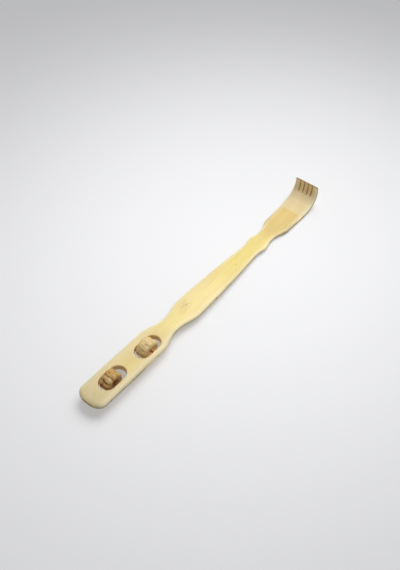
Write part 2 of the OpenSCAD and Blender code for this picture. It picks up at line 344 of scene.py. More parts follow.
def tube(points):
    """A grid of rings (rows, columns, 3) closed by a flat face at each end."""
    rows, columns = points.shape[:2]
    flat, quads = closed_grid(points)
    first = list(range(columns - 1, -1, -1))
    last = list(range((rows - 1) * columns, rows * columns))
    return flat, quads.tolist() + [first, last]


def torus(points):
    """A grid (rows, columns, 3) that closes on itself both ways."""
    joined = np.concatenate([points, points[:1]])
    quads = closed_grid(joined)[1] % (points.shape[0] * points.shape[1])
    return points.reshape(-1, 3), quads.tolist()


def stacked(*coordinates):
    """A grid of points from its X, Y and Z, each spread to the grid's shape."""
    return np.stack(np.broadcast_arrays(*coordinates), axis=-1)


# Meshes

# After a cut, points that lie closer than this are merged, and faces with more corners are split
SLIVER = 0.01 * MM
MOST_CORNERS = 4


def new_object(name, points, faces):
    """A mesh object at the origin, with its faces turned outwards."""
    mesh = bpy.data.meshes.new(name)
    mesh.from_pydata(points, [], faces)
    mesh.update()
    if signed_volume(mesh) < 0:
        mesh.flip_normals()
    obj = bpy.data.objects.new(name, mesh)
    bpy.context.scene.collection.objects.link(obj)
    return obj


def signed_volume(mesh):
    """Volume inside a closed mesh: a sixth of the sum of its triangles' triple products.

    It is negative where the faces point inwards.
    """
    mesh.calc_loop_triangles()
    corners = np.empty(len(mesh.loop_triangles) * 3, np.int32)
    mesh.loop_triangles.foreach_get("vertices", corners)
    a, b, c = read_points(mesh)[corners.reshape(-1, 3)].transpose(1, 0, 2)
    return float(np.einsum("ij,ij->", a, np.cross(b, c))) / 6


def read_points(mesh):
    """All vertices of a mesh as an array (count, 3)."""
    points = np.empty(len(mesh.vertices) * 3)
    mesh.vertices.foreach_get("co", points)
    return points.reshape(-1, 3)


def write_points(mesh, points):
    """Puts an array (count, 3) back into a mesh."""
    mesh.vertices.foreach_set("co", np.ascontiguousarray(points).ravel())
    mesh.update()


def put_attributes(mesh, **layers):
    """Stores one number, or one vector, for each vertex, under each name."""
    for name, values in layers.items():
        kind, key = ("FLOAT", "value") if values.ndim == 1 else ("FLOAT_VECTOR", "vector")
        mesh.attributes.new(name, kind, "POINT").data.foreach_set(key, np.ascontiguousarray(values).ravel())


def finish_piece(obj, smooth_up_to, material, body, slot, *nodes):
    """Shades a piece, gives it its material and body, and lets it stand for CAD nodes.

    Edges stay sharp only where faces meet at more than an angle, given in degrees. The slot is not used.
    """
    mesh = obj.data
    mesh.polygons.foreach_set("use_smooth", np.ones(len(mesh.polygons), bool))
    mesh.set_sharp_from_angle(angle=math.radians(smooth_up_to))
    mesh.materials.clear()
    mesh.materials.append(material)
    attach(obj, body)
    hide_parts(*nodes)


def carve(obj, cutters):
    """Cuts closed cutters out of obj one after the other and keeps the result as obj's own mesh."""
    for cutter in cutters:
        cut = obj.modifiers.new(cutter.name, "BOOLEAN")
        cut.operation = "DIFFERENCE"
        cut.solver = "EXACT"
        cut.object = cutter
    bpy.context.view_layer.update()
    evaluated = obj.evaluated_get(bpy.context.evaluated_depsgraph_get())
    carved = bpy.data.meshes.new_from_object(evaluated)
    obj.modifiers.clear()
    merge_slivers(carved)
    uncut, obj.data = obj.data, carved
    bpy.data.meshes.remove(uncut)
    for cutter in cutters:
        mesh = cutter.data
        bpy.data.objects.remove(cutter)
        bpy.data.meshes.remove(mesh)
    carved.name = obj.name


def merge_slivers(mesh):
    """Merges points that lie closer than a sliver, splits faces of many corners and drops thin faces."""
    shape = bmesh.new()
    shape.from_mesh(mesh)
    bmesh.ops.remove_doubles(shape, verts=shape.verts, dist=SLIVER)
    bmesh.ops.dissolve_degenerate(shape, dist=SLIVER, edges=shape.edges)
    many = [face for face in shape.faces if len(face.verts) > MOST_CORNERS]
    bmesh.ops.triangulate(shape, faces=many)
    bmesh.ops.dissolve_degenerate(shape, dist=SLIVER, edges=shape.edges)
    shape.to_mesh(mesh)
    shape.free()


# Bamboo strip

def to_row(points, near_at):
    """Turns points drawn with the strip lying flat, its butt end at x = 0, into the row frame."""
    origin = NEAR_AXLE - near_at * ALONG
    return origin + points @ STRIP_AXES


class Strip:
    """Outline, thickness and bend of the strip, as functions of the place along it."""

    # Spacing of the cross-sections, and at the crease: reach of closer ones, gap to the others, half its ramp
    SECTION_STEP = 1.25 * MM
    CREASE_REACH = 0.8 * MM
    CREASE_CLEAR = 1.2 * MM
    CREASE_RAMP = 0.4 * MM

    # Numbers of points round an end, at the crease, across the top and round an edge
    END_POINTS = 13
    CREASE_POINTS = 9
    TOP_POINTS = 33
    EDGE_POINTS = 9

    # Largest shares of a half thickness that edges and crown take, and of the tip's thickness for its edge
    EDGE_SHARE = 0.96
    CROWN_SHARE = 0.5
    TIP_EDGE_SHARE = 0.4

    # How far the cutters reach past the faces
    SLOT_PAST = 0.6 * MM
    SLIT_PAST = 0.5 * MM
    HOLE_PAST = 1.0 * MM

    # Slot cutter: degrees of its rim, points on the rim, on an end and along a side; points round a hole
    RIM_TURN = 70
    RIM_POINTS = 8
    SLOT_END_POINTS = 49
    SLOT_SIDE_POINTS = 17
    HOLE_POINTS = 32

    # Slit cutter: points round its start, step, least turn, and corners as side, face and 1 if past it
    SLIT_POINTS = 7
    SLIT_STEP = 1.0 * MM
    SLIT_TURN = 0.15
    SLIT_CORNERS = (
        (1, 1, 1), (-1, 1, 1), (-1, 1, 0), (-1, -1, 0), (-1, -1, 1), (1, -1, 1), (1, -1, 0), (1, 1, 0))

    # Where the colours of slot walls, saw cuts, ends and margins (partly a painted sheen) set in, and where
    # shade is painted low on the sides, with less of it at the shoulder
    SLOT_WALL = 0.05 * MM
    SLIT_WALL = 0.02 * MM
    SLIT_START = 0.1 * MM
    BUTT_GRAIN = (0.1 * MM, 1.4 * MM)
    TIP_GRAIN = (0.0, 0.7 * MM)
    MARGIN = (0.55, 0.95)
    UNDERSIDE = (-1.0, -0.85)
    HANDLE_SIDE = (-0.4, 0.85)
    RAKE_SIDE = (0.2, 1.1)
    SHOULDER_START = (-33 * MM, -16 * MM)
    SHOULDER_END = -5 * MM
    SHOULDER_LESS = 0.65

    def __init__(self, sizes):
        z = self.sizes = sizes
        self.curl_at = z.bend_at + z.heel_radius * z.heel_angle
        self.curl_end = self.curl_at + z.curl_radius * z.curl_angle
        self.tip_at = self.curl_end + z.tip_length
        self.slit_at = self.tip_at - z.slit_length
        self.far_axle_at = z.near_axle_at + AXLE_GAP
        self.slots = (z.near_slot_at, z.near_slot_shift), (z.far_slot_at, z.far_slot_shift)
        self.slots_end = z.far_slot_at + z.slot_length / 2
        self.slot_reach = (z.slot_length - z.slot_width) / 2
        self.tip_edge = min(z.rake_edge, self.TIP_EDGE_SHARE * z.tip_thickness)
        slope = (z.blade_end_width - z.blade_width) / 2 / (z.blade_end - z.blade_at)
        self.outline = levels(
            (0, z.handle_width / 2), (z.shoulder_at, z.handle_width / 2),
            (z.waist_at, z.waist_width / 2), (z.waist_end, z.waist_width / 2))
        self.outline += [
            (z.blade_at, z.blade_width / 2, 0, slope * (1 - z.blade_bow)),
            (z.blade_end, z.blade_end_width / 2, slope * (1 + z.blade_bow), 0)]
        self.outline += levels(
            (z.collar_start, z.blade_end_width / 2), (z.collar_at, z.collar_width / 2),
            (z.neck_at, z.neck_width / 2), (z.neck_end, z.neck_width / 2),
            (z.rake_at, z.rake_width / 2), (self.curl_at, z.heel_width / 2), (self.tip_at, z.tip_width / 2))
        self.thickness = levels(
            (0, z.handle_thickness / 2), (self.slots_end, z.handle_thickness / 2),
            (z.blade_at, z.blade_thickness / 2), (z.rake_at, z.blade_thickness / 2),
            (z.bend_at, z.rake_thickness / 2), (self.slit_at, z.rake_thickness / 2),
            (self.tip_at, z.tip_thickness / 2))
        self.edge = levels(
            (0, z.handle_edge), (self.slots_end, z.handle_edge),
            (z.blade_at, z.blade_edge), (z.rake_at, z.blade_edge),
            (z.bend_at, z.rake_edge), (self.slit_at, z.rake_edge), (self.tip_at, self.tip_edge))
        self.crown = levels(
            (0, z.handle_crown), (z.shoulder_at, z.handle_crown), (z.waist_end, z.blade_crown),
            (z.rake_at, z.blade_crown), (z.crease_at, z.handle_crown), (self.tip_at, 0))

    def places(self):
        """Places of the cross-sections: even along the strip, and close together where it is rounded."""
        z = self.sizes
        quarter = 1 - np.cos(np.linspace(0, QUARTER_TURN, self.END_POINTS))
        tip = self.tip_at - self.tip_edge * quarter
        crease = z.crease_at + np.linspace(-1, 1, self.CREASE_POINTS) * self.CREASE_REACH
        even = np.arange(z.butt_round, self.tip_at - self.tip_edge, self.SECTION_STEP)
        even = even[np.abs(even - z.crease_at) > self.CREASE_CLEAR]
        found = np.concatenate([z.butt_round * quarter, z.butt_fall * quarter, even, crease, tip])
        return np.unique(found.round(7))

    def bent(self, s, y, q):
        """Point at place s along the strip, y across it and q over its middle plane.

        The middle plane is flat as far as the bend, then two arcs about lines above it, heel and curl, each
        adding radius times the change of sine and of cosine of the turn so far, then straight.
        """
        z = self.sizes
        heel = np.clip((s - z.bend_at) / z.heel_radius, 0, z.heel_angle)
        turn = heel + np.clip((s - self.curl_at) / z.curl_radius, 0, z.curl_angle)
        past = np.maximum(s - self.curl_end, 0)
        x = (np.minimum(s, z.bend_at) + z.heel_radius * np.sin(heel)
             + z.curl_radius * (np.sin(turn) - np.sin(heel)) + past * np.cos(turn))
        height = (z.heel_radius * (1 - np.cos(heel))
                  + z.curl_radius * (np.cos(heel) - np.cos(turn)) + past * np.sin(turn))
        return stacked(x - q * np.sin(turn), y, height + q * np.cos(turn))

    def unbent(self, points):
        """Place along the strip, across it and over its middle plane, of points on the bent strip.

        On each arc the place is the radius times the angle round the arc's middle line, and the height is the
        radius less the distance from that line.
        """
        z = self.sizes
        x, y, height = points.T
        reach, drop = x - z.bend_at, z.heel_radius - height
        heel = np.arctan2(reach, drop)
        spare = z.heel_radius - z.curl_radius
        curl_reach = reach - spare * math.sin(z.heel_angle)
        curl_drop = drop - spare * math.cos(z.heel_angle)
        curl = np.arctan2(curl_reach, curl_drop) - z.heel_angle
        zones = [reach <= 0, heel <= z.heel_angle]
        s = np.select(zones, [x, z.bend_at + z.heel_radius * heel], self.curl_at + z.curl_radius * curl)
        q = np.select(zones, [height, z.heel_radius - np.hypot(reach, drop)],
                      z.curl_radius - np.hypot(curl_reach, curl_drop))
        return np.stack([s, y, q], axis=-1)

    def slits(self):
        """Places of the saw cuts across the tip: the outer fingers are wider than the inner ones."""
        z = self.sizes
        finger = z.tip_width / (z.fingers - 2 + 2 * z.outer_finger)
        return [finger * (i - z.fingers / 2) for i in range(1, z.fingers)]

    def skin(self):
        """Cross-sections of the uncut strip as a grid: crowned top, flat bottom and rounded edges.

        Half the width and half the thickness are the outline and the thickness at a place, less the rounding
        of the butt end and of the tip. The top falls by the crown times the square of the share of the way to
        the side. The edges are quarter ellipses, wider than high by the butt end.
        """
        z = self.sizes
        places = self.places()
        s = places[:, None]
        tip_off = round_off(self.tip_edge, self.tip_at - places)
        butt_off = (z.handle_width - z.butt_end) / 2 / z.butt_round * round_off(z.butt_round, places)
        butt_drop = z.handle_edge / z.butt_fall * round_off(z.butt_fall, places)
        width = (eased(self.outline, places) - butt_off - tip_off)[:, None]
        half = (eased(self.thickness, places) - butt_drop - tip_off)[:, None]
        edge = np.minimum(eased(self.edge, places)[:, None], self.EDGE_SHARE * half)
        soft = edge * (1 + z.butt_soft * (1 - smooth_step(z.butt_round, z.butt_soft_end, s)))
        crown = np.minimum(eased(self.crown, places)[:, None], self.CROWN_SHARE * half)
        drop = z.crease_drop * smooth_step(z.crease_at - self.CREASE_RAMP, z.crease_at + self.CREASE_RAMP, s)
        top = half - drop * (1 - smooth_step(self.slit_at, self.tip_at, s))
        run = np.linspace(1, -1, self.TOP_POINTS)[None]
        quarter = np.linspace(0, QUARTER_TURN, self.EDGE_POINTS)[None]
        out_sin, out_cos = soft * np.sin(quarter), soft * np.cos(quarter)
        up_sin, up_cos = edge * np.sin(quarter), edge * np.cos(quarter)
        inner = width - soft
        top_y = inner * run
        top_q = top - crown * (top_y / width) ** 2
        low_y = inner * -run[:, 2:-1:2]
        high, low = top_q[:, -1:] - edge, edge - half
        y = np.concatenate([
            top_y, -inner - out_sin[:, 1:], -inner - out_cos,
            low_y, inner + out_sin, inner + out_cos[:, :-1]], axis=1)
        q = np.concatenate([
            top_q, high + up_cos[:, 1:], low - up_sin,
            np.broadcast_to(-half, low_y.shape), low - up_cos, high + up_sin[:, :-1]], axis=1)
        return self.bent(np.broadcast_to(s, y.shape), y, q)

    def slot_cutter(self, at, shift):
        """A plug with the plan of a slot: two half circles joined by straights, carried up a profile.

        The profile is upright between the faces and opens out in a quarter round at both of them.
        """
        z = self.sizes
        half, rim = z.handle_thickness / 2, z.slot_rim
        turn = np.radians(np.linspace(0, self.RIM_TURN, self.RIM_POINTS))
        heights = np.concatenate([[0], half - rim + rim * np.sin(turn), [half + self.SLOT_PAST]])
        offsets = np.concatenate([[0], rim * (1 - np.cos(turn))])
        slope = math.tan(turn[-1])
        offsets = np.append(offsets, offsets[-1] + (heights[-1] - heights[-2]) * slope)
        heights = np.concatenate([-heights[:0:-1], heights])
        offsets = np.concatenate([offsets[:0:-1], offsets])
        round_end = np.linspace(-QUARTER_TURN, QUARTER_TURN, self.SLOT_END_POINTS)
        straight = np.linspace(1, -1, self.SLOT_SIDE_POINTS)[1:-1] * self.slot_reach
        end = np.full(len(round_end), self.slot_reach)
        side = np.full(len(straight), QUARTER_TURN)
        middle = np.concatenate([end, straight, -end, -straight])
        normal = np.concatenate([round_end, side, round_end + np.pi, side + np.pi])
        radius = z.slot_width / 2 + offsets[:, None]
        x = at + middle + radius * np.cos(normal)
        y = radius * np.sin(normal) - shift
        return tube(stacked(x, y, heights[:, None]))

    def dowel_cutter(self, at, node, rollers):
        """A round bar for a dowel's hole: open at one side of the handle, and blind in the other."""
        z = self.sizes
        radius = rollers.dowel_diameter / 2 + z.dowel_fit
        turn = np.linspace(0, FULL_TURN, self.HOLE_POINTS, endpoint=False)
        y = np.array([-z.handle_width / 2 - self.HOLE_PAST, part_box(node)[1].y + z.dowel_fit])[:, None]
        return tube(stacked(at + radius * np.cos(turn), y, radius * np.sin(turn)))

    def slit_cutter(self, middle):
        """A saw cut between two fingers: a thin upright slab that follows the bend, with eased edges."""
        z = self.sizes
        start = 1 - np.cos(np.linspace(0, QUARTER_TURN, self.SLIT_POINTS))
        start = self.slit_at + z.slit_width / 2 * start
        rest = np.arange(start[-1] + self.SLIT_STEP, self.tip_at + 2 * self.SLIT_STEP, self.SLIT_STEP)
        s = np.concatenate([start, rest])[:, None]
        turn = np.clip((s - self.slit_at) / np.ptp(start) * QUARTER_TURN, self.SLIT_TURN, QUARTER_TURN)
        kerf = z.slit_width / 2 * np.sin(turn)
        half = eased(self.thickness, np.minimum(s[:, 0], self.tip_at))[:, None]
        side, face, past = np.array(self.SLIT_CORNERS, float).T
        reach = np.where(past > 0, half + self.SLIT_PAST, half - z.slit_rim)
        ease = np.where(past > 0, z.slit_rim + self.SLIT_PAST, 0.0)
        return tube(self.bent(np.broadcast_to(s, reach.shape), middle + side * (kerf + ease), face * reach))

    def wall_share(self, own):
        """1 on the walls of slots and saw cuts, falling to 0 over their rounded rims."""
        z = self.sizes
        s, y, _ = own.T
        wall = np.zeros(len(s))
        for at, shift in self.slots:
            past = np.maximum(np.abs(s - at) - self.slot_reach, 0)
            off = np.hypot(past, y + shift) - z.slot_width / 2
            wall = np.maximum(wall, 1 - smooth_step(self.SLOT_WALL, z.slot_rim / 2, off))
        for middle in self.slits():
            off = np.abs(y - middle) - z.slit_width / 2
            cut = 1 - smooth_step(self.SLIT_WALL, z.slit_rim, off)
            wall = np.maximum(wall, cut * (s > self.slit_at - self.SLIT_START))
        return wall

    def end_share(self, own):
        """1 on the end grain of the butt end and of the finger tips."""
        s = own[:, 0]
        return 1 - smooth_step(*self.BUTT_GRAIN, s) * smooth_step(*self.TIP_GRAIN, self.tip_at - s)

    def margin_share(self, own):
        """1 along the strip's long edges, falling to 0 towards its middle: where the wood is paler and a
        sheen on the rounded edges is painted.
        """
        s, y, _ = own.T
        return smooth_step(*self.MARGIN, np.abs(y) / eased(self.outline, np.clip(s, 0.0, self.tip_at)))

    def low_share(self, own):
        """1 low on the strip's sides and butt end, falling to 0 towards the upper and the lower face. It
        marks where shade is painted into the colour.

        The level at which it falls goes from the handle's to the rake's between neck and rake, and the sides
        from the far slot to the shoulder get less of it.
        """
        z = self.sizes
        s, _, q = own.T
        level = q / eased(self.thickness, np.clip(s, 0.0, self.tip_at))
        rake = smooth_step(z.neck_at, z.rake_at, s)
        begin, full = (z.far_slot_at + off for off in self.SHOULDER_START)
        shoulder = smooth_step(begin, full, s)
        shoulder = shoulder * (1 - smooth_step(z.shoulder_at + self.SHOULDER_END, z.waist_at, s))
        low, high = (h + (r - h) * rake for h, r in zip(self.HANDLE_SIDE, self.RAKE_SIDE))
        dark = 1 - smooth_step(low, high, level)
        return dark * smooth_step(*self.UNDERSIDE, level) * (1 - self.SHOULDER_LESS * shoulder)


# Rollers and dowels

class Roller:
    """A knobbed roller about the Y axis, as a grid: rows go round the axle and columns go across it."""

    # Numbers of points: round the axle, across the ridges, over a rim, in along a side and through the bore
    ROUND_POINTS = 288
    FACE_POINTS = 57
    RIM_POINTS = 9
    SIDE_POINTS = 13
    BORE_POINTS = 7

    # A groove's depth: an even share, a share in waves and a share that grows towards the rims
    EVEN_SHARE = 0.6
    WAVE_SHARE = 0.25
    RIM_SHARE = 0.25

    # How fast a groove's depth and its line wave across the roller, and how much the hollow's depth differs
    DEPTH_PACE = 2.8
    LINE_PACE = 2.4
    HOLLOW_SPREAD = (0.7, 1.2)

    # The knife's small waves: how many there are, how often each goes round and how much it slants
    WAVES = 8
    WAVE_ROUNDS = (4, 22)
    WAVE_SLANTS = (-5, 5)

    # Shares of the way out from the bore: where the dish sets in and ends, and where the end grain does
    DISH = (0.05, 0.8)
    END_GRAIN = (0.25, 0.8)

    # How much shade is painted into grooves and hollow, and the most that it comes to with the dents
    GROOVE_DARK = 0.55
    HOLLOW_DARK = 0.4
    DARKEST = 1.2

    def __init__(self, sizes, seed, relief):
        """Relief scales how deep grooves and hollow are cut."""
        z = self.sizes = sizes
        self.rng = np.random.default_rng(seed)
        self.relief = relief
        self.radius, self.half = z.diameter / 2, z.width / 2
        self.theta = np.linspace(0, FULL_TURN, self.ROUND_POINTS, endpoint=False)[:, None]
        rim = self.half - z.rim * (1 - np.sin(np.linspace(0, QUARTER_TURN, self.RIM_POINTS)))
        face = np.linspace(-self.half + z.rim, self.half - z.rim, self.FACE_POINTS)
        self.across = np.unique(np.concatenate([-rim, face, rim]).round(7))[None]
        self.over = self.across[..., None] / self.half
        self.pitch = FULL_TURN / z.ridges
        self.groove_at = -z.turn + self.pitch * np.arange(z.ridges)

    def grooves(self):
        """Depth of the grooves between the ridges, each a bell curve about its own line.

        The line strays from straight by a shift, a slant and a wave. The depth is an even share, a share in
        waves and a share that grows with the fourth power of the distance from the middle.
        """
        z, over = self.sizes, self.over
        stray = self.rng.uniform(-1, 1, (3, z.ridges)) * z.wander / self.radius
        phase = self.rng.uniform(0, FULL_TURN, z.ridges)
        depth = self.EVEN_SHARE + self.WAVE_SHARE * np.cos(self.DEPTH_PACE * over + phase)
        depth = z.groove_depth * self.relief * (depth + self.RIM_SHARE * over ** 4)
        bend = stray[0] + stray[1] * over + stray[2] * np.cos(self.LINE_PACE * over + phase)
        off = self.radius * np.abs(wrapped(self.theta[..., None] - (self.groove_at + bend)))
        return (depth * np.exp(-(off / z.groove_half) ** 2)).max(axis=-1)

    def ridge_weights(self):
        """Weights that part the circle into a soft-edged stretch for each ridge, and add up to 1."""
        middles = self.groove_at + self.pitch / 2
        off = wrapped(self.theta[:, 0] - middles[:, None])
        raw = np.exp(-np.abs(off / (self.pitch / 2)) ** 6)
        return raw / raw.sum(axis=0)

    def hollow(self, ridges):
        """Depth of the flat-bottomed hollow around the middle, which strays and differs by ridge."""
        z = self.sizes
        cut = self.rng.uniform(*self.HOLLOW_SPREAD, z.ridges) @ ridges
        drift = self.rng.uniform(-1, 1, z.ridges) @ ridges * z.wander
        bowl = np.exp(-((self.across - drift[:, None]) / z.hollow_half) ** 4)
        return z.hollow_depth * self.relief * cut[:, None] * bowl

    def waves(self):
        """Depth of the knife's small waves: the mean of sines that slant across the roller, from 0 up."""
        counts = self.rng.integers(*self.WAVE_ROUNDS, self.WAVES)
        slants = self.rng.uniform(*self.WAVE_SLANTS, self.WAVES)
        shifts = self.rng.uniform(0, FULL_TURN, self.WAVES)
        mean = np.sin(self.theta[..., None] * counts + self.over * slants + shifts).mean(axis=-1)
        return self.sizes.waves * (1 + mean) / 2

    def dented(self, dents):
        """Depth and painted shade of the carved dents, each a bell curve. A negative depth fills a groove."""
        depth = np.zeros((self.theta.size, self.across.size))
        dent_shade = np.zeros_like(depth)
        for degrees, y, long, wide, deep, dark in dents:
            off = wrapped(self.theta - math.radians(degrees))
            beside = self.across - y * MM
            bump = np.exp(-(self.radius * off / (long * MM)) ** 2 - (beside / (wide * MM)) ** 2)
            depth += deep * MM * bump
            dent_shade += dark * bump
        return depth, dent_shade

    def skin(self, dents):
        """Points of the roller, their grain coordinates, the shade painted into grooves, hollow and dents,
        and how far each is on a side.

        Columns go over the ridges, in along one side, through the bore and out along the other side. The
        outer radius is the full radius less grooves, hollow and dents, less each ridge's own lack of height,
        less small waves, less the rounded rims. Grooves and hollow join as the cube root of the sum of their
        cubes.
        """
        z, across, half = self.sizes, self.across, self.half
        groove = self.grooves()
        ridges = self.ridge_weights()
        hollow = self.hollow(ridges)
        lack = (self.rng.uniform(0, z.ridge_spread, z.ridges) @ ridges)[:, None]
        waves = self.waves()
        depth, dent_shade = self.dented(dents)
        cut_in = np.maximum((groove ** 3 + hollow ** 3) ** (1 / 3) + depth, 0)
        outer = self.radius - cut_in - lack - waves - round_off(z.rim, half - np.abs(across))
        bore = z.dowel_diameter / 2 + z.running_clearance
        inward = np.linspace(1, 0, self.SIDE_POINTS)[None, 1:]
        far_side = bore + (outer[:, -1:] - bore) * inward
        near_side = (bore + (outer[:, :1] - bore) * inward)[:, ::-1]
        dish = z.dish * (1 - smooth_step(*self.DISH, inward))
        through = np.linspace(half - z.dish, z.dish - half, self.BORE_POINTS)[None, 1:-1]
        hole = np.full((len(outer), through.size), bore)
        r = np.concatenate([outer, far_side, hole, near_side], axis=1)
        y = np.concatenate([across, half - dish, through, (dish - half)[:, ::-1]], axis=1)
        inner = 1 - smooth_step(*self.END_GRAIN, inward)
        side = np.concatenate([0 * across, inner, 0 * through + 1, inner[:, ::-1]], axis=1)
        carved = np.zeros(r.shape)
        # Shade painted into grooves, hollow and dents, kept in the carved layer
        dark = (self.GROOVE_DARK * groove + self.HOLLOW_DARK * hollow) / z.groove_depth + dent_shade
        carved[:, :outer.shape[1]] = np.clip(dark, 0, self.DARKEST)
        points = stacked(r * np.sin(self.theta), y, r * np.cos(self.theta))
        grain = stacked(self.radius * self.theta, y, r)
        return points, grain.reshape(-1, 3), carved.ravel(), np.broadcast_to(side, r.shape).ravel()


# A dowel's grid, and the waves of its whittled surface
DOWEL_LONG_POINTS = 41
DOWEL_ROUND_POINTS = 48
DOWEL_WAVE_ROUNDS = (2, 5, 9)
DOWEL_WAVE_PACE = 60
DOWEL_UNEVEN = 0.012


def dowel_skin(sizes, node, seed):
    """A slightly uneven dowel along Y, as rings: straight, with a chamfer at both ends.

    The radius falls short by the uneven share times 1 plus the mean of sines that wind along the dowel.
    """
    rng = np.random.default_rng(seed)
    radius, chamfer = sizes.dowel_diameter / 2, sizes.dowel_chamfer
    low, high = (corner.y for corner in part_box(node))
    straight = np.linspace(low + chamfer, high - chamfer, DOWEL_LONG_POINTS)
    y = np.concatenate([[low], straight, [high]])[:, None]
    turn = np.linspace(0, FULL_TURN, DOWEL_ROUND_POINTS, endpoint=False)[None]
    taper = np.ones_like(y)
    taper[[0, -1]] = 1 - chamfer / radius
    phases = rng.uniform(0, FULL_TURN, len(DOWEL_WAVE_ROUNDS))
    waves = [np.sin(rounds * turn + phase + DOWEL_WAVE_PACE * y)
             for rounds, phase in zip(DOWEL_WAVE_ROUNDS, phases)]
    r = radius * taper * (1 - DOWEL_UNEVEN * (1 + sum(waves) / len(waves)))
    return stacked(r * np.sin(turn), y, r * np.cos(turn))


# Materials

class Nodes:
    """Short ways to add and wire the nodes of a tree."""

    def __init__(self, tree):
        self.tree = tree
        tree.nodes.clear()

    def add(self, kind, sockets=None, **settings):
        """A new node: settings are its own values, sockets are its inputs, each a value or a link."""
        node = self.tree.nodes.new("ShaderNode" + kind)
        for key, value in settings.items():
            setattr(node, key, value)
        for key, value in (sockets or {}).items():
            if isinstance(value, bpy.types.NodeSocket):
                self.tree.links.new(value, node.inputs[key])
            else:
                node.inputs[key].default_value = value
        return node

    def math(self, operation, first, second):
        """What one operation gives on two numbers or links."""
        return self.add("Math", {0: first, 1: second}, operation=operation).outputs[0]

    def times(self, first, second):
        """A product of two numbers or links."""
        return self.math("MULTIPLY", first, second)

    def plus(self, first, second):
        """A sum of two numbers or links."""
        return self.math("ADD", first, second)

    def seen_rays(self):
        """1 for rays that the camera sees straight, mirrored or through glass, and 0 for the rest."""
        rays = self.add("LightPath").outputs
        seen = rays["Is Camera Ray"]
        for kind in ("Is Glossy Ray", "Is Transmission Ray"):
            seen = self.math("MAXIMUM", seen, rays[kind])
        return seen


class Finish(Nodes):
    """A material with one Principled shader, and short ways to make its colours."""

    def __init__(self, name, **sockets):
        self.material = bpy.data.materials.new(name)
        self.material.use_nodes = True
        super().__init__(self.material.node_tree)
        self.shader = self.add("BsdfPrincipled", sockets)
        self.output = self.add("OutputMaterial", {"Surface": self.shader.outputs[0]})

    def attribute(self, name, output="Fac"):
        """A vertex attribute of the piece."""
        return self.add("Attribute", attribute_name=name).outputs[output]

    def noise(self, vector, scale, detail, roughness, offset=(0, 0, 0)):
        """Noise stretched by its own scale along each axis, as a number about 0.5."""
        mapped = self.add("Mapping", {"Vector": vector, "Scale": scale, "Location": offset})
        return self.add("TexNoise", {
            "Vector": mapped.outputs[0], "Scale": 1.0, "Detail": detail, "Roughness": roughness}).outputs[0]

    def band(self, value, low, high, to_low=0.0, to_high=1.0):
        """Smooth change from to_low to to_high as a value goes from low to high."""
        return self.add("MapRange", {
            "Value": value, "From Min": low, "From Max": high, "To Min": to_low, "To Max": to_high},
            interpolation_type="SMOOTHSTEP").outputs[0]

    def spot(self, vector, centre, reach):
        """1 at a point and 0 at its reach along each axis. Both are given in mm."""
        scale = [1 / (r * MM) for r in reach]
        shift = [-c / r for c, r in zip(centre, reach)]
        mapped = self.add("Mapping", {"Vector": vector, "Scale": scale, "Location": shift})
        return self.add("TexGradient", {"Vector": mapped.outputs[0]}, gradient_type="SPHERICAL").outputs[1]

    def mix(self, factor, first, second, blend="MIX"):
        """Two colours mixed by a factor."""
        first, second = (
            c if isinstance(c, bpy.types.NodeSocket) else (*c, 1.0) for c in (first, second))
        sockets = {0: factor, 6: first, 7: second}
        return self.add("Mix", sockets, data_type="RGBA", blend_type=blend).outputs[2]

    def tone(self, colour, value):
        """A colour made lighter or darker by a number about 1."""
        grey = self.add("CombineColor", {0: value, 1: value, 2: value}).outputs[0]
        return self.mix(1.0, colour, grey, "MULTIPLY")

    def surface(self, colour, roughness, height, strength, depth):
        """Wires colour, roughness and bump to the shader. The bump's depth is given in mm."""
        bump = self.add("Bump", {"Height": height, "Strength": strength, "Distance": depth * MM})
        for key, link in (("Base Color", colour), ("Roughness", roughness), ("Normal", bump.outputs[0])):
            self.tree.links.new(link, self.shader.inputs[key])
        return self.material


